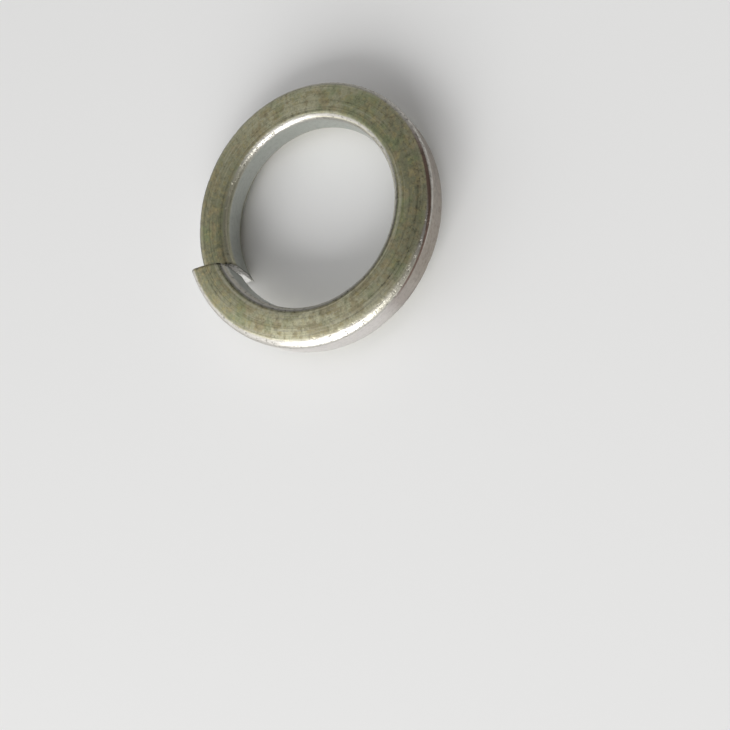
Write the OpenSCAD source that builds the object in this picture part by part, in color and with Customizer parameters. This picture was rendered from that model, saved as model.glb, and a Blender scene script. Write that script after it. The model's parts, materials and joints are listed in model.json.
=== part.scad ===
// Spring lock washer: one coil of near-square steel wire, cut through at a skew,
// with its two ends standing apart by the rise of the coil.
// Millimetres. The bore's axis is Z, the split faces -Y, the lowest point is at Z = 0.

/* [Ring] */
// Diameter of the round bore, in mm
bore_d = 12.2; // [8:0.1:30]
// Width of the section, from the bore to the rim, in mm
section_w = 2.4; // [1.6:0.05:4]
// Thickness of the section at the bore, measured along the axis, in mm
bore_t = 2.05; // [1.5:0.05:3.5]
// Thickness of the section at the rim, measured along the axis, in mm
rim_t = 2.4; // [1.5:0.05:3.5]
// Drop of the section's middle from the bore to the rim, in mm
dish = 0.3; // [0:0.05:0.5]
// Radius of the two long edges at the rim, in mm
rim_edge_r = 0.4; // [0.15:0.05:0.6]
// Radius of the two long edges at the bore, in mm
bore_edge_r = 0.4; // [0.15:0.05:0.6]

/* [Coil] */
// Rise of the coil from its low end to its high end, in mm
rise = 1.45; // [0.8:0.05:2.2]

/* [Split] */
// Open space between the two cut faces, square to them, in mm
gap = 0.8; // [0.4:0.05:1.2]
// Turn of the cut away from radial, with its rim side ahead of its bore side, in degrees
cut_skew = 21; // [5:1:30]
// Lean of the cut away from upright, the high end overhanging, in degrees
cut_slant = 22; // [0:1:30]
// Length of the sharp burr that the cut has drawn out on the low end, in mm
burr_l = 0.6; // [0.2:0.05:0.8]
// Thickness of the burr at its root, in mm
burr_t = 0.2; // [0.15:0.05:0.3]

/* [Hidden] */

bore_r = bore_d / 2;
rim_r = bore_r + section_w;
mid_r = (bore_r + rim_r) / 2;

// The coil's steps, how much closer together they lie near the ends, and the segments of an edge
coil_steps = 120;
crowding = 0.5;
edge_steps = 5;

// The swept section stands proud of the bore and the rim by this much, and two true
// cylinders trim it to size, so that both round walls are exact
trim = 0.06;

// Heights of the section's four corners above the coil's middle line, before they are rounded
bore_top = (bore_t + dish) / 2;
rim_top = (rim_t - dish) / 2;
bore_bottom = -(bore_t - dish) / 2;
rim_bottom = -(rim_t + dish) / 2;

// Both faces fall a little from the bore to the rim, the lower one more
top_fall = atan((bore_top - rim_top) / section_w);
bottom_fall = atan((bore_bottom - rim_bottom) / section_w);

// The cut line runs past the axis at this distance
cut_lever = mid_r * sin(cut_skew);
half_gap = gap / 2 / cos(cut_slant);

// Turn, in degrees clockwise from the split seen from above, at which the cut meets
// radius r at height z above the coil's middle; side is -1 at the low end, 1 at the high end
function cut_turn(r, z, side) =
    cut_skew - asin((cut_lever - z * tan(cut_slant) + side * half_gap) / r);

function low_turn(p) = cut_turn(p[0], p[1] - rise / 2, -1);
function high_turn(p) = 360 + cut_turn(p[0], p[1] + rise / 2, 1);

// Height of the coil's middle line at a turn
function coil_z(turn) = rise * (turn - 180) / 360;

// A section point p, its radius and its height above the middle line, set at a turn
function on_coil(p, turn) = [-p[0] * sin(turn), -p[0] * cos(turn), p[1] + coil_z(turn)];

// One rounded corner of the section about [r, h], from angle a0 to a1
function corner(r, h, edge_r, a0, a1) =
    [for (k = [0 : edge_steps]) let (a = a0 + (a1 - a0) * k / edge_steps)
        [r + edge_r * cos(a), h + edge_r * sin(a)]];

// Heights of the centres of the rounded corners
rim_top_h = rim_top + rim_edge_r * tan(top_fall) - rim_edge_r / cos(top_fall);
bore_top_h = bore_top - bore_edge_r * tan(top_fall) - bore_edge_r / cos(top_fall);
bore_bottom_h = bore_bottom - bore_edge_r * tan(bottom_fall) + bore_edge_r / cos(bottom_fall);
rim_bottom_h = rim_bottom + rim_edge_r * tan(bottom_fall) + rim_edge_r / cos(bottom_fall);

// The section, with one more point on the bore's side to carry the root of the burr
low_edge = corner(bore_r + bore_edge_r, bore_bottom_h, bore_edge_r, 180, 270 - bottom_fall);
section = concat(
    corner(rim_r - rim_edge_r, rim_top_h, rim_edge_r, 0, 90 - top_fall),
    corner(bore_r + bore_edge_r, bore_top_h, bore_edge_r, 90 - top_fall, 180),
    [[bore_r, bore_bottom_h + burr_t]],
    low_edge,
    corner(rim_r - rim_edge_r, rim_bottom_h, rim_edge_r, 270 - bottom_fall, 360));
corners = len(section);

// Moves the upright sides of the section outward for the trimming cylinders
function proud(p) =
    [p[0] > rim_r - 0.001 ? rim_r + trim : (p[0] < bore_r + 0.001 ? bore_r - trim : p[0]), p[1]];

// The burr runs out along the lower edge of the bore, from just inside that edge. This is
// how far, in degrees, it draws out a section point of the low end
function burr_turn(p) =
    burr_l / bore_r * 180 / PI * max(0, 1 - norm(p - low_edge[1]) / burr_t);

// Puts the lowest point of the low end at height 0
lift = -min([for (p = section) p[1] + coil_z(low_turn(p))]);

// Share of the coil's length reached after step i
function station(i) = i / coil_steps - crowding * sin(360 * i / coil_steps) / (2 * PI);

// The section at step i
function ring(i) = [for (p = section)
    let (t = station(i), a = low_turn(p) - (i == 0 ? burr_turn(p) : 0))
    on_coil(proud(p), a + (high_turn(p) - a) * t)];

// The section drawn in by the burr's thickness, on a cut face
function inset_ring(low) = [for (p = section)
    let (q = [mid_r, 0] + (p - [mid_r, 0]) * (1 - 2 * burr_t / bore_t))
    on_coil(q, low ? low_turn(q) : high_turn(q))];

module coil() {
    last = coil_steps * corners;
    low_inset = last + corners;
    high_inset = low_inset + corners;
    mids = high_inset + corners;
    points = concat([for (i = [0 : coil_steps]) each ring(i)], inset_ring(true), inset_ring(false),
        [on_coil([mid_r, 0], low_turn([mid_r, 0])), on_coil([mid_r, 0], high_turn([mid_r, 0]))]);
    // Two faces between neighbouring points of one row and the row that follows it
    function strip(a, b) = [for (j = [0 : corners - 1]) let (n = (j + 1) % corners)
        each [[a + j, b + j, b + n], [a + j, b + n, a + n]]];
    function fan(a, mid) = [for (j = [0 : corners - 1]) [mid, a + j, a + (j + 1) % corners]];
    polyhedron(points = points, convexity = 6, faces = concat(
        [for (i = [0 : coil_steps - 1]) each strip(i * corners, (i + 1) * corners)],
        strip(low_inset, 0), fan(low_inset, mids),
        strip(last, high_inset), [for (f = fan(high_inset, mids + 1)) [f[0], f[2], f[1]]]));
}

module lock_washer() {
    color([0.48, 0.47, 0.4])
    translate([0, 0, lift])
    difference() {
        intersection() {
            coil();
            translate([0, 0, -rim_t - rise])
                cylinder(r = rim_r, h = 2 * (rim_t + rise), $fn = 120);
        }
        translate([0, 0, -rim_t - rise])
            cylinder(r = bore_r, h = 2 * (rim_t + rise), $fn = 120);
    }
}

lock_washer();
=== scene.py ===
"""Spring lock washer: a coiled steel ring with a skewed cut, on a plain pale floor."""

import json
import math
import random

import bmesh
import bpy
from mathutils import Matrix, Vector, noise


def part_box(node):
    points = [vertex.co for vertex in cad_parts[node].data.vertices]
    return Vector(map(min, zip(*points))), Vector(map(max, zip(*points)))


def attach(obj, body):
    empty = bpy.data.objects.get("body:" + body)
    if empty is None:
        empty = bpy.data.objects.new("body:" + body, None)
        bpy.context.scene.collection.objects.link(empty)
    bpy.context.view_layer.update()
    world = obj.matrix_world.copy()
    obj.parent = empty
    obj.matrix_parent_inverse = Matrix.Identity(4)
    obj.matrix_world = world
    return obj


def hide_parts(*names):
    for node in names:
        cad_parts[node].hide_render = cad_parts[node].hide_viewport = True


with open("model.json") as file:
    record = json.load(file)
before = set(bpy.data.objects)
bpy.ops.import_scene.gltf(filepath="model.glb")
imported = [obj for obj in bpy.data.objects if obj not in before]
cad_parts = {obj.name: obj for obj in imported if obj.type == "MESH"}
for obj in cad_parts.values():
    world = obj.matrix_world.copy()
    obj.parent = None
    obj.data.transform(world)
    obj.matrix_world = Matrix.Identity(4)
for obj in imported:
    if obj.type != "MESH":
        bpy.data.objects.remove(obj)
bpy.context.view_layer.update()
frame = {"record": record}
BORE_MM = frame["record"]["mounts"][0]["dims"]["r_mm"]

bl_info = {
    "name": "Spring lock washer",
    "version": (1, 0, 0),
    "blender": (4, 5, 0),
    "location": "View3D > Sidebar > Washer",
    "description": "Coils a split lock washer from square steel wire and sets it on a pale floor",
    "category": "Object",
}

MM = 0.001
MICRON = 0.000001
FULL_TURN = 2 * math.pi
SEED = 7


# What the panel can change


def length(name, about, default, low, high):
    """A size, given here in millimetres."""
    return bpy.props.FloatProperty(
        name=name, description=about, default=default * MM, min=low * MM, max=high * MM,
        precision=5, subtype="DISTANCE", unit="LENGTH")


def angle(name, about, default, low, high):
    """An angle, given here in degrees."""
    return bpy.props.FloatProperty(
        name=name, description=about, default=math.radians(default), min=math.radians(low),
        max=math.radians(high), subtype="ANGLE", unit="ROTATION")


def share(name, about, default, high=1.0):
    """A plain number from 0 up."""
    return bpy.props.FloatProperty(
        name=name, description=about, default=default, min=0.0, max=high)


def colour(name, about, default):
    """A colour in linear light."""
    return bpy.props.FloatVectorProperty(
        name=name, description=about, default=default, size=3, min=0.0, max=1.0,
        subtype="COLOR")


class WasherSizes(bpy.types.PropertyGroup):
    """Sizes of the coiled ring and of its cut."""

    bore_r: length("Bore radius", "Radius of the round bore", BORE_MM, 4, 15)
    section_w: length("Section width", "From the bore to the rim", 2.4, 1.6, 4)
    bore_t: length("Thickness at the bore", "Along the axis", 2.05, 1.5, 3.5)
    rim_t: length("Thickness at the rim", "Along the axis", 2.4, 1.5, 3.5)
    dish: length("Dish", "Drop of the section's middle from the bore to the rim", 0.3, 0, 0.5)
    rim_edge_r: length("Rim edge radius", "Rounding of the long edges at the rim",
                       0.45, 0.15, 0.6)
    bore_edge_r: length("Bore edge radius", "Rounding of the long edges at the bore",
                        0.5, 0.15, 0.6)
    crown: length("Crown", "Fall of the upper face towards its edges", 0.04, 0, 0.1)
    flare: length("Flare", "Growth of the rim towards the high end", 0.1, 0, 0.3)
    spread: length("Spread", "Further growth of the rim's foot there", 0.12, 0, 0.3)
    ease: length("Eased edge", "Growth of the rim's upper rounding where it is fullest",
                 0.22, 0, 0.4)
    rise: length("Rise", "Climb of the coil from its low end to its high end", 1.45, 0.8, 2.2)
    gap: length("Gap", "Open space between the cut faces", 0.8, 0.4, 1.2)
    cut_skew: angle("Cut skew", "Turn of the cut away from radial", 21, 5, 30)
    cut_slant: angle("Cut slant", "Lean of the cut away from upright", 22, 0, 30)
    burr_l: length("Burr length", "Reach of the burr beyond the cut", 0.6, 0.2, 0.8)
    burr_t: length("Burr thickness", "Width of the burr's root", 0.2, 0.15, 0.3)
    wave: length("Waviness", "Depth of the slow unevenness of the drawn wire", 0.012, 0, 0.05)
    nick: length("Nick depth", "Depth of the small dents along the edges", 0.03, 0, 0.1)


class SteelLook(bpy.types.PropertyGroup):
    """Colours and gloss of the steel."""

    flat: colour("Flat faces", "Olive grey of the two flat faces", (0.315, 0.31, 0.20))
    # Painted sheen: the flats are painted lighter where the drawn lines catch the light
    painted_sheen: colour("Painted sheen on flats", "Lighter olive where the drawn lines catch the light",
                    (0.82, 0.79, 0.555))
    edge: colour("Long edges", "Bare metal of the rubbed edges", (0.54, 0.52, 0.48))
    bore_wall: colour("Bore wall", "Cool grey of the bore", (0.50, 0.52, 0.485))
    rim_wall: colour("Rim wall", "Warm grey of the rim", (0.74, 0.71, 0.69))
    # Painted shade and dark reflection: the rim's darker, browner grey on one stretch of the ring
    rim_painted_dim: colour("Painted dim rim", "Darker, browner grey of the rim's dull side",
                     (0.39, 0.345, 0.30))
    # Painted reflection: the reddish brown of a dark reflection in the rim's upper edge
    brown_reflection: colour("Painted brown reflection", "Reddish brown in the dull side's upper edge",
                  (0.17, 0.10, 0.075))
    # Brighter metal for real wear, and also for painted highlights and sheen
    rubbed_and_lit: colour("Rubbed streaks", "Brighter metal where the faces are rubbed",
                   (0.70, 0.67, 0.52))
    warm: colour("Warm tint", "Brownish tint that drifts over the faces", (0.46, 0.38, 0.225))
    tan: colour("Tan specks", "Yellowish tan specks in the faces", (0.56, 0.49, 0.23))
    green: colour("Green tint", "Green that drifts over the faces", (0.30, 0.36, 0.185))
    # Real soil, and also the dark of painted shade and painted shadow
    soil_and_shade: colour("Soil", "Dark residue in the grain", (0.06, 0.057, 0.04))
    sheared: colour("Cut faces", "Bright bare metal of the cut", (0.80, 0.79, 0.77))
    flat_rough: share("Flat roughness", "Roughness of the flat faces", 0.42)
    edge_rough: share("Edge roughness", "Roughness of the rubbed edges", 0.35)
    wall_rough: share("Wall roughness", "Roughness of the bore and the rim", 0.40)
    cut_rough: share("Cut roughness", "Roughness of the cut faces", 0.34)


class StageLook(bpy.types.PropertyGroup):
    """Floor and light."""

    floor: colour("Floor", "Pale matt floor", (0.84, 0.84, 0.835))
    overhead: share("Light from above", "Strength of the room straight above", 0.26, 4.0)
    sides: share("Light from the sides", "Strength of the room all round", 0.42, 4.0)
    bright_side: share("Bright side", "Strength that the room gains on its bright side",
                       1.0, 4.0)
    dark_side: share("Dark side", "Share of its light that the room loses on its dark side",
                     0.40)
    dark_tone: colour("Dark side tone", "Warm grey of the dark side of the room",
                      (0.92, 0.88, 0.84))
    window: share("Window power", "Power of the large soft window, in watts", 5.2, 20.0)
    window_w: length("Window width", "Width of the window", 500, 10, 3000)
    window_h: length("Window height", "Height of the window", 520, 10, 3000)


# Finishes as Python expressions


class Value:
    """A value on its way through a finish. Arithmetic on it adds Math nodes."""

    def __init__(self, finish, socket):
        self.finish, self.socket = finish, socket

    def __add__(self, other):
        return self.finish.maths("ADD", self, other)

    def __radd__(self, other):
        return self.finish.maths("ADD", other, self)

    def __sub__(self, other):
        return self.finish.maths("SUBTRACT", self, other)

    def __rsub__(self, other):
        return self.finish.maths("SUBTRACT", other, self)

    def __mul__(self, other):
        return self.finish.maths("MULTIPLY", self, other)

    def __rmul__(self, other):
        return self.finish.maths("MULTIPLY", other, self)

    def __truediv__(self, other):
        return self.finish.maths("DIVIDE", self, other)

    def __pow__(self, other):
        return self.finish.maths("POWER", self, other)


class Finish:
    """A node tree, with one way to add a node to it."""

    def __init__(self, tree):
        self.tree = tree
        tree.nodes.clear()

    def add(self, kind, settings=None, inputs=None, out=0):
        """Adds a node of this kind, sets it up, joins its inputs and returns one output."""
        node = self.tree.nodes.new(kind)
        for key, value in (settings or {}).items():
            setattr(node, key, value)
        for key, value in (inputs or {}).items():
            socket = self._socket(node.inputs, key)
            if isinstance(value, Value):
                self.tree.links.new(value.socket, socket)
            else:
                socket.default_value = value
        if len(node.outputs) == 0:
            return None
        return Value(self, self._socket(node.outputs, out))

    @staticmethod
    def _socket(sockets, key):
        if isinstance(key, int):
            return sockets[key]
        found = [s for s in sockets if s.enabled and key in (s.name, s.identifier)]
        if not found:
            raise KeyError(f"no socket {key} among {[s.name for s in sockets]}")
        return found[0]

    def maths(self, operation, *values):
        """One operation on numbers and values."""
        return self.add("ShaderNodeMath", {"operation": operation}, dict(enumerate(values)))

    def smooth(self, value, low, high):
        """0 below low, 1 above high, smooth in between."""
        return self.add("ShaderNodeMapRange", {"interpolation_type": "SMOOTHSTEP"}, {
            "Value": value, "From Min": low, "From Max": high, "To Min": 0.0, "To Max": 1.0})

    def band(self, value, start, full, fade, end):
        """0 below start, 1 from full to fade, 0 above end, smooth in between."""
        return self.smooth(value, start, full) * (1 - self.smooth(value, fade, end))

    def mix(self, factor, first, second):
        """Goes from the first colour to the second."""
        def rgba(c):
            return c if isinstance(c, Value) else (*tuple(c)[:3], 1.0)
        return self.add("ShaderNodeMix", {"data_type": "RGBA"},
                        {"Factor": factor, "A": rgba(first), "B": rgba(second)}, "Result")

    def tint(self, base, coats):
        """Lays coats over a colour, one after the other. Each is a mask and its colour."""
        for mask, coat in coats:
            base = self.mix(mask, base, coat)
        return base

    def stretch(self, vector, scale):
        """A vector with each of its directions scaled."""
        return self.add("ShaderNodeVectorMath", {"operation": "MULTIPLY"},
                        {0: vector, 1: scale}, "Vector")

    def part(self, vector, axis):
        """One of a vector's three numbers."""
        return self.add("ShaderNodeSeparateXYZ", {}, {0: vector}, axis)

    def attribute(self, name, out="Fac"):
        """What the mesh holds under this name."""
        return self.add("ShaderNodeAttribute",
                        {"attribute_type": "GEOMETRY", "attribute_name": name}, {}, out)

    def noise(self, vector, scale, detail, roughness):
        """Soft noise from 0 to 1, with a mean of a half."""
        return self.add("ShaderNodeTexNoise", {}, {
            "Vector": vector, "Scale": scale, "Detail": detail, "Roughness": roughness}, "Fac")


def new_finish(name):
    """An empty material and the finish that fills it."""
    material = bpy.data.materials.new(name)
    material.use_nodes = True
    return material, Finish(material.node_tree)


def close_finish(f, colour, rough, relief):
    """Ends a finish in the metal shader, with its relief in microns."""
    normal = f.add("ShaderNodeBump", {}, {
        "Strength": 1.0, "Distance": 1.0, "Height": relief * MICRON}, "Normal")
    metal = f.add("ShaderNodeBsdfPrincipled", {}, {
        "Metallic": 1.0, "Normal": normal, "Base Color": colour, "Roughness": rough})
    f.add("ShaderNodeOutputMaterial", {}, {"Surface": metal})


def in_mm(f):
    """The piece's own coordinates, in millimetres."""
    place = f.add("ShaderNodeTexCoord", {}, {}, "Object")
    return f.stretch(place, (1 / MM, 1 / MM, 1 / MM))


# The steel. Its finish reads three things that the ring's mesh holds. "wire" is a place on the
# wire: its first number runs along the middle line, in mm from the split, and the other two go
# once round the section, at a distance of WIRE_GIRTH from its middle. "facing" says how level the
# surface lies, and "cut" how far off the nearest cut is, in mm.
WIRE_GIRTH = 1.42
# Radius of the middle line that the finish is laid out for
MID_MM = 7.3
# The place that faces the light, and the one across the ring from it, where the lines shine too
# and the flats get a painted sheen
LIGHT_SIDE = math.radians(288) * MID_MM
SHINE_POWER = 1.6

# Places along the wire where its finish and its painted light and shade change, in mm: where a
# change starts and where it is done, or where a band starts, is full, fades and ends
LOW_END = (5.0, 11.0)
RIM_PATINA = (8.0, 22.0)
RIM_SHADE = (12.0, 24.0)
PAINTED_SHEEN_SIDE = (20.0, 30.0)
FAR_SIDE = (21.0, 26.0)
# The stretch of the rim painted darker, as painted shade and dark reflection
PAINTED_DIM_RIM = (17.0, 21.0, 29.5, 34.0)
PAINTED_REFLECTION_LINE = (21.5, 24.5, 30.5, 33.0)
PAINTED_RIM_HIGHLIGHT = (28.5, 30.5, 33.0, 35.0)

# Changes round the section, by "facing": 0 on the upright walls and 1 on the flats
EDGES = (0.02, 0.30)
FLATS = (0.84, 0.985)
GLINT = (0.45, 0.58, 0.66, 0.76)
PAINTED_DARK_LINE = (0.74, 0.86, 0.95, 0.99)
PAINTED_HIGHLIGHT_EDGE = (0.30, 0.55, 0.97, 0.995)
# The painted brown reflection line: how far off its own level it fades, and near which level it
# stops
LINE_WIDTH = (0.09, 0.26)
LINE_STOPS = (0.90, 0.97)
# It has this level at this place and falls with each mm, but is never above its top
LINE_FROM, LINE_LEVEL, LINE_TOP, LINE_FALL = 25.5, 0.82, 0.84, 0.105

# Changes round the section, by the second number of "wire", which is below 0 on the bore's side
RIM_SIDE = (-0.4, 0.4)
# The same, counted towards the bore
INNER_GLINT = (0.60, 0.70, 0.76, 0.84)
# The same, as a share of the way from the middle of a flat to the middle of a wall
WORN = (0.46, 0.78)

# How far from the cut its painted shadow line reaches, in mm
CUT_SHADOW = (0.05, 0.17)


class DrawnWire:
    """The wire's surface: where a point lies on it, the grain there and the drawn lines."""

    def __init__(self, f):
        self.f = f
        mm, wire = in_mm(f), f.attribute("wire", "Vector")
        self.along, self.side = f.part(wire, "X"), f.part(wire, "Y")
        self.facing, self.cut = f.attribute("facing"), f.attribute("cut")
        self.flat = f.smooth(self.facing, *FLATS)
        self.edge = f.smooth(self.facing, *EDGES) * (1 - self.flat)
        self.outer = f.smooth(self.side, *RIM_SIDE)
        self.inner = 1 - self.outer
        self.far_side = f.smooth(self.along, *FAR_SIDE)
        # The stretch of the rim that is painted darker, as painted shade and dark reflection
        self.painted_dim = f.band(self.along, *PAINTED_DIM_RIM)

        self.grain = f.noise(mm, scale=3.6, detail=3.0, roughness=0.65)
        self.speck = f.noise(mm, scale=9.0, detail=2.0, roughness=0.6)
        self.blotch = f.noise(mm, scale=1.3, detail=3.0, roughness=0.6)
        # Mirrored, so that these two don't follow the others
        self.tan_speck = f.noise(f.stretch(mm, (1.0, -1.0, 1.0)),
                                 scale=3.4, detail=2.0, roughness=0.65)
        self.drift = f.noise(f.stretch(mm, (1.0, 1.0, -1.0)),
                             scale=0.6, detail=2.0, roughness=0.6)
        # Long along the wire and fine across it
        self.lines = f.noise(f.stretch(wire, (0.10, 6.0, 6.0)),
                             scale=1.0, detail=3.0, roughness=0.7)
        self.streaks = f.noise(f.stretch(wire, (0.28, 4.6, 4.6)),
                               scale=1.0, detail=2.0, roughness=0.6)
        self.scratch = f.noise(f.stretch(wire, (0.35, 22.0, 22.0)),
                               scale=1.0, detail=1.0, roughness=0.5)
        chips = f.noise(mm, scale=4.6, detail=3.0, roughness=0.7)
        self.chip = f.smooth(chips, 0.56, 0.66) * self.edge

    def painted_sheen(self):
        """Painted sheen where the drawn lines catch the light: two opposite sides of the ring."""
        f = self.f
        shine = f.maths("COSINE", (self.along - LIGHT_SIDE) * (2 / MID_MM)) * 0.5 + 0.5
        return shine ** SHINE_POWER * (0.62 + f.smooth(self.along, *PAINTED_SHEEN_SIDE) * 0.38)

    def patina(self):
        """The flats' olive, which also lies on some of the edges."""
        f = self.f
        bore_edge = self.inner * (1 - f.smooth(self.along, *LOW_END))
        rim_edge = self.outer * (1 - f.smooth(self.along, *RIM_PATINA))
        return self.flat + self.edge * (bore_edge * 0.75 + rim_edge * 0.80)

    def worn(self):
        """The flats' borders, which wear first."""
        f = self.f
        across = f.maths("ABSOLUTE", self.side) / WIRE_GIRTH
        return self.flat * f.smooth(across + (self.grain - 0.5) * 0.25, *WORN)

    def painted_glints(self):
        """Painted highlights: bright lines in the bore's rounding and on the flat beside it."""
        f = self.f
        glint = self.inner * f.band(self.facing, *GLINT) * f.smooth(self.lines, 0.40, 0.60)
        inner_glint = f.band(0 - self.side, *INNER_GLINT) * self.flat * self.far_side * f.smooth(
            self.lines, 0.36, 0.56)
        return glint * 0.6 + inner_glint * 0.55

    def painted_rim_highlight(self):
        """A painted highlight on a stretch of the rim's edge."""
        f = self.f
        return self.outer * f.band(self.along, *PAINTED_RIM_HIGHLIGHT) * f.band(self.facing, *PAINTED_HIGHLIGHT_EDGE)

    def painted_reflection_line(self):
        """Painted dark reflection, a line running down over the rim's upper edge as the ring
        turns.
        """
        f = self.f
        level = f.maths("MINIMUM", LINE_LEVEL - (self.along - LINE_FROM) * LINE_FALL, LINE_TOP)
        off = f.maths("ABSOLUTE", self.facing - level)
        return (self.outer * f.band(self.along, *PAINTED_REFLECTION_LINE)
                * (1 - f.smooth(off, *LINE_WIDTH)) * (1 - f.smooth(self.facing, *LINE_STOPS)))

    def dirt_and_painted_shade(self):
        """Soil in the grain, lines and chips, and painted shade at the bore's edge, rim and cut.
        """
        f = self.f
        # The soil is painted stronger on that darker stretch of the rim, as more painted shade
        hold = 0.30 + self.flat * 0.70 + self.outer * self.painted_dim * 0.40
        fine = (f.smooth(self.grain, 0.42, 0.72) * 0.34
                + f.smooth(1 - self.lines, 0.46, 0.74) * 0.34
                + f.smooth(self.speck, 0.50, 0.72) * 0.16)
        # A painted dark reflection line where the bore's rounding meets the flat
        painted_dark_line = self.inner * f.band(self.facing, *PAINTED_DARK_LINE) * self.far_side
        shaded = self.edge * self.outer * (1 - f.smooth(self.along, *RIM_SHADE))
        # A painted shadow along the cut
        painted_cut_shadow = 1 - f.smooth(self.cut, *CUT_SHADOW)
        return (hold * fine + self.chip * 0.45 + painted_dark_line * 0.50 + shaded * 0.35
                + painted_cut_shadow * 0.50)

    def colour(self, look):
        """The colour, coat by coat: each mask is how strong its colour is."""
        f, flat, painted_sheen = self.f, self.flat, self.painted_sheen()
        # The rim's walls, painted darker and browner on one stretch as painted shade and dark
        # reflection
        rim = f.mix(self.painted_dim, look.rim_wall, look.rim_painted_dim)
        bare = f.mix(self.edge, f.mix(self.outer, look.bore_wall, rim), look.edge)
        # The flats' olive, painted lighter by the sheen on the two sides that face the light
        olive = f.mix(painted_sheen, look.flat, look.painted_sheen)
        return f.tint(f.mix(self.patina(), bare, olive), (
            (flat * f.smooth(self.blotch, 0.48, 0.62) * 0.62, look.warm),
            (flat * f.smooth(self.drift, 0.50, 0.64) * (0.60 - painted_sheen * 0.35), look.green),
            (flat * f.smooth(self.tan_speck, 0.50, 0.66) * 0.42, look.tan),
            (flat * f.smooth(1 - self.tan_speck, 0.54, 0.70) * 0.25, look.green),
            # Light streaks, partly real and partly painted sheen, since they grow with it
            (flat * f.smooth(self.streaks, 0.53, 0.67) * (0.14 + painted_sheen * 0.62), look.rubbed_and_lit),
            (self.worn() * 0.30, look.rubbed_and_lit),
            # Painted highlights: the bright lines along the bore
            (self.painted_glints(), look.rubbed_and_lit),
            # A painted highlight on a stretch of the rim's edge
            (self.painted_rim_highlight() * 0.45, look.rubbed_and_lit),
            # The painted brown reflection line
            (self.painted_reflection_line() * 0.88, look.brown_reflection),
            # Soil, together with painted shade and painted shadow
            (self.dirt_and_painted_shade(), look.soil_and_shade)))

    def roughness(self, look):
        """Each zone's own roughness, uneven with the lines and the grain."""
        return (look.wall_rough + self.flat * (look.flat_rough - look.wall_rough)
                - self.edge * (look.wall_rough - look.edge_rough)
                + (self.lines - 0.5) * 0.20 + (self.grain - 0.5) * 0.24)

    def relief(self):
        """The relief in microns. The edges are the most uneven."""
        return ((self.lines - 0.5) * 18.0 + (self.scratch - 0.5) * 2.4
                + (self.grain - 0.5) * (9.0 + self.edge * 13.0)
                + (self.speck - 0.5) * (2.5 + self.edge * 4.0) - self.chip * 16.0)


def drawn_steel(look):
    """Drawn wire: olive flats, grey walls, rubbed bright edges, lines along it, painted light and
    shade.
    """
    material, f = new_finish("drawn_steel")
    wire = DrawnWire(f)
    close_finish(f, wire.colour(look), wire.roughness(look), wire.relief())
    return material


# Heights of the cut faces' dark torn zone, which is also painted shadow of the overhanging end,
# and how far from the axis their dark lip at the bore reaches, both in mm
TORN_SHADOW_FOOT = (0.9, 1.5)
TORN_SHADOW_TOP = (3.2, 3.5)
LIP = (6.30, 6.42)


def sheared_steel(look):
    """The faces of the cut: bright metal, a torn zone also painted as shadow, blade lines."""
    material, f = new_finish("sheared_steel")
    mm = in_mm(f)
    up = f.part(mm, "Z")
    out = f.add("ShaderNodeVectorMath", {"operation": "LENGTH"},
                {0: f.stretch(mm, (1.0, 1.0, 0.0))}, "Value")
    lines = f.noise(f.stretch(mm, (6.0, 6.0, 0.8)), scale=1.0, detail=2.0, roughness=0.6)
    grain = f.noise(mm, scale=7.0, detail=3.0, roughness=0.6)
    # Dark above a height: torn metal, and also a painted shadow of the overhanging end
    torn_and_shadow = f.smooth(up + (grain - 0.5) * 0.8, *TORN_SHADOW_FOOT) * (1 - f.smooth(up, *TORN_SHADOW_TOP))
    lip = 1 - f.smooth(out, *LIP)
    dark = f.smooth(grain, 0.45, 0.75) * 0.30 + (1 - (1 - torn_and_shadow) * (1 - lip)) * 0.68
    close_finish(f, f.mix(dark, look.sheared, look.soil_and_shade), look.cut_rough + (grain - 0.5) * 0.30,
                 (lines - 0.5) * 8.0 + (grain - 0.5) * 10.0)
    return material


# The ring. It is coiled in steps, and at first a little past both cuts
STEP = math.radians(1)
OVERRUN = math.radians(18)
EDGE_SEGMENTS = 8
SIDE_CUTS = 9
# The section's straight sides are longer than this, and the segments of its roundings shorter
SHORTEST_SIDE = 0.5 * MM

# The turn at which the rim starts to grow, and how much further on it is full grown. The turn at
# which its upper edge starts to be fuller, and how much further on that ends
GROWTH = (math.radians(222), math.radians(65))
FULLER = (math.radians(228), math.radians(125))

# How near to the split a vertex has to lie to belong to one end
END_REACH = math.radians(40)
# The cut face's margin as a share of the burr's width, the turn round the bore's lower rounding at
# which the burr has its root, and how sharply it tapers
MARGIN = 0.6
BURR_LEAN = math.radians(16)
BURR_TAPER = 1.3

# Length of the slow waves; number of dents, their widths in mm, their shares of the full depth,
# and how level the wire's surface is where they lie
WAVE_LENGTH = 1.6 * MM
DENTS = 46
DENT_WIDTH = (0.16, 0.34)
DENT_DEPTH = (0.3, 1.0)
DENTED = (0.2, 0.95)

# Faces that meet at more than this angle keep a sharp edge
SHARP = math.radians(40)
# Cosine of the turn from the split within which the way to the cut is measured, and the number
# that stands for far from it
NEAR_SPLIT = 0.7
FAR_MM = 9.0


def clamp(x):
    """The number x, kept from 0 to 1."""
    return min(1.0, max(0.0, x))


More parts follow.
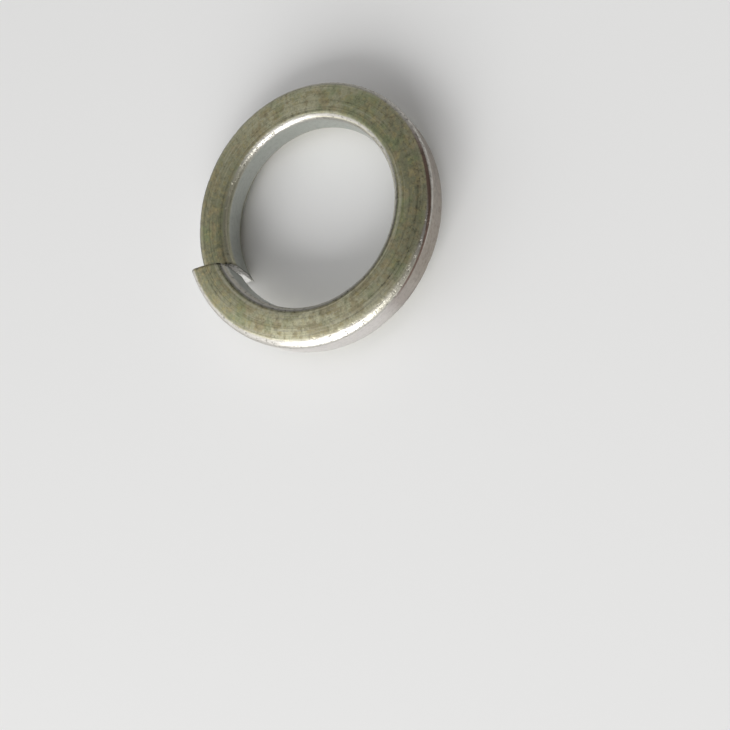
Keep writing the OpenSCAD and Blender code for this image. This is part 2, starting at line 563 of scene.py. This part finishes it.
class Coil:
    """The coil's law: where a section point comes to lie at a turn, clockwise from above."""

    def __init__(self, sizes):
        self.s = sizes
        self.rim_r = sizes.bore_r + sizes.section_w
        self.mid_r = sizes.bore_r + sizes.section_w / 2
        self.bore_z = (-(sizes.bore_t - sizes.dish) / 2, (sizes.bore_t + sizes.dish) / 2)
        self.rim_z = (-(sizes.rim_t + sizes.dish) / 2, (sizes.rim_t - sizes.dish) / 2)
        self.lever = self.mid_r * math.sin(sizes.cut_skew)
        self.half_gap = sizes.gap / 2 / math.cos(sizes.cut_slant)
        self.middle_z = 0.0

    def cut_turn(self, r, z, side):
        """Turn at which the cut meets radius r at height z above the coil's middle."""
        return self.s.cut_skew - math.asin(
            (self.lever - z * math.tan(self.s.cut_slant) + side * self.half_gap) / r)

    def cut_plane(self, side):
        """A point of the low end's (-1) or the high end's (1) cut face, and its normal."""
        across = Vector((math.cos(self.s.cut_skew), -math.sin(self.s.cut_skew), 0.0))
        point = across * (self.lever + side * self.half_gap) + Vector((0, 0, self.middle_z))
        return point, (across + Vector((0, 0, math.tan(self.s.cut_slant)))).normalized()

    def height(self, turn):
        """Height of the wire's middle line at a turn."""
        return self.middle_z + self.s.rise * (turn / FULL_TURN - 0.5)

    def carry(self, turn):
        """The screw motion from turn 0 on."""
        climb = self.s.rise * turn / FULL_TURN
        return Matrix.Translation((0, 0, climb)) @ Matrix.Rotation(-turn, 4, "Z")

    def settle(self, outline, floor_z):
        """Finds the height at which the low end of a section's outline rests on the floor."""
        rise = self.s.rise
        lowest = min(z + rise * (self.cut_turn(r, z - rise / 2, -1) / FULL_TURN - 0.5)
                     for r, z in outline)
        self.middle_z = floor_z - lowest


def section(bm, coil, layers):
    """Draws the wire's section as a rounded outline at turn 0."""
    s = coil.s
    corners = [(s.bore_r, coil.bore_z[0], s.bore_edge_r),
               (coil.rim_r, coil.rim_z[0], s.rim_edge_r),
               (coil.rim_r, coil.rim_z[1], s.rim_edge_r),
               (s.bore_r, coil.bore_z[1], s.bore_edge_r)]
    verts = [bm.verts.new((0.0, -r, z)) for r, z, _ in corners]
    bm.faces.new(verts)
    for v, (_, _, radius) in zip(verts, corners):
        ways = [e.other_vert(v).co - v.co for e in v.link_edges]
        reach = radius / math.tan(ways[0].angle(ways[1]) / 2)
        bmesh.ops.bevel(bm, geom=[v], offset=reach, offset_type="OFFSET", affect="VERTICES",
                        segments=EDGE_SEGMENTS, profile=0.5, material=-1)
    sides = [e for e in bm.edges if e.calc_length() > SHORTEST_SIDE]
    bmesh.ops.subdivide_edges(bm, edges=sides, cuts=SIDE_CUTS)
    bmesh.ops.delete(bm, geom=list(bm.faces), context="FACES_ONLY")
    lay_out(bm, coil, layers)
    coil.settle([(-v.co.y, v.co.z) for v in bm.verts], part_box("lock_washer")[0][2])
    crown(bm, coil, layers)
    ease_corner(bm, coil, layers)
    bmesh.ops.translate(bm, vec=(0, 0, coil.height(0.0)), verts=list(bm.verts))


def lay_out(bm, coil, layers):
    """Writes on each section point how level it lies and where it is round the section."""
    s = coil.s
    for v in bm.verts:
        ends = [e.other_vert(v).co for e in v.link_edges]
        v[layers["facing"]] = abs((ends[1] - ends[0]).normalized().y)
        v[layers["around"]] = math.atan2(v.co.z / s.rim_t, (-v.co.y - coil.mid_r) / s.section_w)


def crown(bm, coil, layers):
    """Lets the upper face fall a little towards its edges, and the lower one rise a quarter
    as much."""
    s = coil.s
    half_flat = s.section_w / 2 - s.bore_edge_r
    for v in bm.verts:
        out = min(1.0, abs(-v.co.y - coil.mid_r) / half_flat)
        fall = s.crown if v.co.z > 0 else -s.crown / 4
        v.co.z -= fall * out ** 3 * v[layers["facing"]]


def ease_corner(bm, coil, layers):
    """Writes how far each upper point moves for a larger radius of the rim's upper edge."""
    s = coil.s
    flat_r = s.bore_r + s.bore_edge_r
    in_r, in_z = coil.rim_r - s.rim_edge_r, coil.rim_z[1] - s.rim_edge_r
    for v in bm.verts:
        r, z = -v.co.y, v.co.z
        if z < 0:
            continue
        if r > in_r and z > in_z:
            v[layers["draw_in"]] = max(0.0, 1 - (r - in_r) / s.rim_edge_r)
            v[layers["draw_down"]] = max(0.0, 1 - (z - in_z) / s.rim_edge_r)
        elif r > in_r:
            v[layers["draw_down"]] = z / in_z
        else:
            v[layers["draw_in"]] = max(0.0, (r - flat_r) / (in_r - flat_r))


def coil_up(bm, coil, layers):
    """Spins the section along the coil, a little further than the cut at both ends."""
    turn = layers["turn"]
    bmesh.ops.transform(bm, matrix=coil.carry(-OVERRUN), verts=list(bm.verts))
    for v in bm.verts:
        v[turn] = -OVERRUN
    edges = list(bm.edges)
    climb = coil.s.rise * STEP / FULL_TURN
    for i in range(1, round((FULL_TURN + 2 * OVERRUN) / STEP) + 1):
        spun = bmesh.ops.spin(bm, geom=edges, cent=(0, 0, 0), axis=(0, 0, 1),
                              dvec=(0, 0, climb), angle=-STEP, steps=1,
                              use_merge=False, use_duplicate=False)
        edges = [g for g in spun["geom_last"] if isinstance(g, bmesh.types.BMEdge)]
        for v in {v for e in edges for v in e.verts}:
            v[turn] = i * STEP - OVERRUN
    put_in_order(bm)


def put_in_order(bm):
    """Sorts the edges and the faces by their first two corners. Spinning leaves them in an order
    that changes from run to run, and the cuts' new vertices would follow it."""
    bm.verts.index_update()
    count = len(bm.verts)

    def place(piece):
        first, second = sorted(v.index for v in piece.verts)[:2]
        return first * count + second

    bm.edges.sort(key=place)
    bm.faces.sort(key=place)


def spread_rim(bm, coil, layers):
    """Lets the rim grow over the last third of the coil, most of all at its foot."""
    s = coil.s
    for v in bm.verts:
        turn = v[layers["turn"]]
        along = clamp((turn - GROWTH[0]) / GROWTH[1])
        if along == 0.0:
            continue
        r = v.co.xy.length
        out = clamp((r - coil.mid_r) / (s.section_w / 2))
        low = clamp(0.5 - (v.co.z - coil.height(turn)) / s.rim_t)
        grow = along * along * (3 - 2 * along) * out * out * (s.flare + s.spread * low)
        fuller = s.ease * math.sin(math.pi * clamp((turn - FULLER[0]) / FULLER[1])) ** 2
        grown = 1 + (grow - fuller * v[layers["draw_in"]]) / r
        v.co = Vector((v.co.x * grown, v.co.y * grown,
                       v.co.z - fuller * v[layers["draw_down"]]))


def cut_end(bm, coil, layers, side):
    """Cuts one end off along the slanted plane and closes it. The low end gets its burr."""
    end_turn = 0.0 if side < 0 else FULL_TURN

    def at_end(piece):
        return all(abs(v[layers["turn"]] - end_turn) < END_REACH for v in piece.verts)

    faces = [f for f in bm.faces if at_end(f)]
    geom = [*faces, *dict.fromkeys(e for f in faces for e in f.edges),
            *dict.fromkeys(v for f in faces for v in f.verts)]
    point, normal = coil.cut_plane(side)
    bmesh.ops.bisect_plane(bm, geom=geom, dist=1e-8, plane_co=point, plane_no=normal,
                           clear_outer=side < 0, clear_inner=side > 0)
    open_edges = [e for e in bm.edges if e.is_boundary and at_end(e)]
    cap = bmesh.ops.holes_fill(bm, edges=open_edges, sides=0)["faces"]
    if len(cap) != 1:
        raise RuntimeError(f"the cut at side {side} closed with {len(cap)} faces")
    margin = bmesh.ops.inset_region(bm, faces=cap, thickness=coil.s.burr_t * MARGIN,
                                    use_even_offset=True)["faces"]
    for f in [*cap, *margin]:
        f.material_index = 1
    if side < 0:
        inside = {v for f in cap for v in f.verts}
        draw_burr(coil, layers, {v for f in margin for v in f.verts} - inside)


def draw_burr(coil, layers, outline):
    """Pulls the low end's outline out to a sharp point along the lower edge of the bore."""
    s = coil.s
    root_r = s.bore_r + s.bore_edge_r * (1 - math.cos(BURR_LEAN))
    root_z = coil.bore_z[0] + s.bore_edge_r * (1 - math.sin(BURR_LEAN))
    for v in outline:
        off = math.hypot(v.co.xy.length - root_r,
                         v.co.z - coil.height(v[layers["turn"]]) - root_z)
        near = max(0.0, 1 - off / s.burr_t)
        if near > 0:
            v.co = coil.carry(-near ** BURR_TAPER * s.burr_l / s.bore_r) @ v.co


def roughen(bm, coil, layers):
    """Gives the wire its slow unevenness and the small dents along its edges."""
    s = coil.s
    rng = random.Random(SEED)
    edges = [v for v in bm.verts if DENTED[0] < v[layers["facing"]] < DENTED[1]]
    dents = [(rng.choice(edges).co.copy(), rng.uniform(*DENT_WIDTH) * MM,
              rng.uniform(*DENT_DEPTH) * s.nick) for _ in range(DENTS)]
    bm.normal_update()
    moves = []
    for v in bm.verts:
        depth = s.wave * noise.noise(v.co / WAVE_LENGTH)
        for at, width, dent in dents:
            d = (v.co - at).length / width
            if d < 1:
                depth -= dent * (1 - d * d) ** 2
        moves.append((v, v.normal * depth))
    for v, move in moves:
        v.co += move


def write_wire(mesh, coil):
    """Writes what the finish reads: the place on the wire, and the way to the cut in mm."""
    mesh.attributes.new("wire", "FLOAT_VECTOR", "POINT")
    mesh.attributes.new("cut", "FLOAT", "POINT")
    turns, arounds, wire, cut = (
        mesh.attributes[name].data for name in ("turn", "around", "wire", "cut"))
    planes = (coil.cut_plane(-1), coil.cut_plane(1))
    for i, vertex in enumerate(mesh.vertices):
        turn, around = turns[i].value, arounds[i].value
        if math.cos(turn) > NEAR_SPLIT:
            at, normal = planes[turn > math.pi]
            cut[i].value = abs((vertex.co - at).dot(normal)) / MM
        else:
            cut[i].value = FAR_MM
        wire[i].vector = (turn * coil.mid_r / MM, WIRE_GIRTH * math.cos(around),
                          WIRE_GIRTH * math.sin(around))


class WASHER_OT_ring(bpy.types.Operator):
    """Coils the ring, cuts it, draws out its burr and gives it its steel finish"""

    bl_idname = "washer.ring"
    bl_label = "Coil the ring"

    def execute(self, context):
        sizes, look = context.scene.washer_sizes, context.scene.washer_steel
        coil = Coil(sizes)
        bm = bmesh.new()
        layers = {name: bm.verts.layers.float.new(name)
                  for name in ("turn", "around", "facing", "draw_in", "draw_down")}
        section(bm, coil, layers)
        coil_up(bm, coil, layers)
        spread_rim(bm, coil, layers)
        for side in (-1, 1):
            cut_end(bm, coil, layers, side)
        bmesh.ops.recalc_face_normals(bm, faces=list(bm.faces))
        roughen(bm, coil, layers)
        for f in bm.faces:
            f.smooth = True
        mesh = bpy.data.meshes.new("spring_ring")
        bm.to_mesh(mesh)
        bm.free()
        mesh.set_sharp_from_angle(angle=SHARP)
        write_wire(mesh, coil)
        for material in (drawn_steel(look), sheared_steel(look)):
            mesh.materials.append(material)
        ring = bpy.data.objects.new("spring_ring", mesh)
        context.scene.collection.objects.link(ring)
        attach(ring, "root")
        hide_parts("lock_washer")
        return {"FINISHED"}


# The stage. An azimuth is measured from the front and turns right
FLOOR_RADIUS = 0.6
FLOOR_SEGMENTS = 96
WINDOW_AZIMUTH = math.radians(61)
WINDOW_ELEVATION = math.radians(20)
WINDOW_DISTANCE = 0.6
BRIGHT_AZIMUTH = math.radians(8)
BRIGHT_ELEVATION = math.radians(10)
DARK_AZIMUTH = math.radians(158)
DARK_ELEVATION = math.radians(5)
# Cosines of the angle from the middle of each side of the room at which its light starts to
# change and at which the change is done
BRIGHT_REACH = (0.50, 0.97)
DARK_REACH = (0.35, 0.90)
OVERHEAD_REACH = (0.80, 1.0)
CAMERA_AT = Vector((21.673, 12.516, 40.336)) * MM
CAMERA_AIM = Vector((9.789, -1.562, 0.0)) * MM
CAMERA_ROLL = math.radians(-77.33)
CAMERA_LENS = 34.553
CAMERA_SENSOR = 36.0
CAMERA_CLIP = (0.001, 10.0)


def towards(azimuth, elevation):
    """The direction at an azimuth and an elevation."""
    flat = math.cos(elevation)
    return Vector((math.sin(azimuth) * flat, -math.cos(azimuth) * flat, math.sin(elevation)))


def lay_floor(context, look):
    """A round matt floor under the washer."""
    bm = bmesh.new()
    bmesh.ops.create_circle(bm, cap_ends=True, segments=FLOOR_SEGMENTS, radius=FLOOR_RADIUS)
    mesh = bpy.data.meshes.new("floor")
    bm.to_mesh(mesh)
    bm.free()
    material, f = new_finish("pale_floor")
    matt = f.add("ShaderNodeBsdfDiffuse", {}, {"Color": (*look.floor, 1.0), "Roughness": 0.0})
    f.add("ShaderNodeOutputMaterial", {}, {"Surface": matt})
    mesh.materials.append(material)
    floor = bpy.data.objects.new("floor", mesh)
    context.scene.collection.objects.link(floor)


def light_room(context, look):
    """A room that is dim straight above, bright on one side and dark on another."""
    world = bpy.data.worlds.new("room")
    world.use_nodes = True
    f = Finish(world.node_tree)
    way = f.add("ShaderNodeTexCoord", {}, {}, "Generated")

    def nearness(azimuth, elevation, reach):
        beside = f.add("ShaderNodeVectorMath", {"operation": "DOT_PRODUCT"},
                       {0: way, 1: tuple(towards(azimuth, elevation))}, "Value")
        return f.smooth(beside, *reach)

    bright = nearness(BRIGHT_AZIMUTH, BRIGHT_ELEVATION, BRIGHT_REACH)
    dark = nearness(DARK_AZIMUTH, DARK_ELEVATION, DARK_REACH)
    above = f.smooth(f.part(way, "Z"), *OVERHEAD_REACH)
    plain = look.sides + above * (look.overhead - look.sides)
    strength = (plain + bright * look.bright_side) * (1 - dark * look.dark_side)
    tone = f.mix(dark, (1.0, 1.0, 1.0), look.dark_tone)
    room = f.add("ShaderNodeBackground", {}, {"Color": tone, "Strength": strength})
    f.add("ShaderNodeOutputWorld", {}, {"Surface": room})
    context.scene.world = world


def hang_window(context, look):
    """One large soft window, low on the side that the photograph's highlights face."""
    lamp = bpy.data.lights.new("window", "AREA")
    lamp.shape = "RECTANGLE"
    lamp.size, lamp.size_y = look.window_w, look.window_h
    lamp.energy = look.window
    window = bpy.data.objects.new("window", lamp)
    way = towards(WINDOW_AZIMUTH, WINDOW_ELEVATION)
    window.location = way * WINDOW_DISTANCE
    window.rotation_mode = "QUATERNION"
    window.rotation_quaternion = (-way).to_track_quat("-Z", "Y")
    context.scene.collection.objects.link(window)


def set_camera(context):
    """The camera at the photograph's viewing angle."""
    data = bpy.data.cameras.new("camera")
    data.sensor_width = CAMERA_SENSOR
    data.sensor_fit = "HORIZONTAL"
    data.lens = CAMERA_LENS
    data.clip_start, data.clip_end = CAMERA_CLIP
    camera = bpy.data.objects.new("camera", data)
    look_way = (CAMERA_AIM - CAMERA_AT).to_track_quat("-Z", "Y").to_matrix().to_4x4()
    roll = Matrix.Rotation(CAMERA_ROLL, 4, "Z")
    camera.matrix_world = Matrix.Translation(CAMERA_AT) @ look_way @ roll
    context.scene.collection.objects.link(camera)
    context.scene.camera = camera


class WASHER_OT_stage(bpy.types.Operator):
    """Lays the floor, lights the room and sets the camera"""

    bl_idname = "washer.stage"
    bl_label = "Set the stage"

    def execute(self, context):
        look = context.scene.washer_stage
        lay_floor(context, look)
        light_room(context, look)
        hang_window(context, look)
        set_camera(context)
        context.scene.view_settings.view_transform = "Standard"
        return {"FINISHED"}


class WASHER_PT_panel(bpy.types.Panel):
    """Sizes, steel and stage of the washer"""

    bl_label = "Spring lock washer"
    bl_idname = "WASHER_PT_panel"
    bl_space_type = "VIEW_3D"
    bl_region_type = "UI"
    bl_category = "Washer"

    def draw(self, context):
        for group, operator in (("washer_sizes", "washer.ring"), ("washer_steel", None),
                                ("washer_stage", "washer.stage")):
            values = getattr(context.scene, group)
            box = self.layout.box()
            for key in values.bl_rna.properties.keys():
                if key not in ("rna_type", "name"):
                    box.prop(values, key)
            if operator:
                box.operator(operator)


CLASSES = (WasherSizes, SteelLook, StageLook, WASHER_OT_ring, WASHER_OT_stage, WASHER_PT_panel)


def register():
    """Adds the classes and the scene's settings."""
    for cls in CLASSES:
        bpy.utils.register_class(cls)
    bpy.types.Scene.washer_sizes = bpy.props.PointerProperty(type=WasherSizes)
    bpy.types.Scene.washer_steel = bpy.props.PointerProperty(type=SteelLook)
    bpy.types.Scene.washer_stage = bpy.props.PointerProperty(type=StageLook)


def unregister():
    """Takes them away again."""
    del bpy.types.Scene.washer_stage, bpy.types.Scene.washer_steel, bpy.types.Scene.washer_sizes
    for cls in reversed(CLASSES):
        bpy.utils.unregister_class(cls)


def main():
    """Builds the washer and its stage."""
    register()
    bpy.ops.washer.ring()
    bpy.ops.washer.stage()


if __name__ == "__main__":
    main()
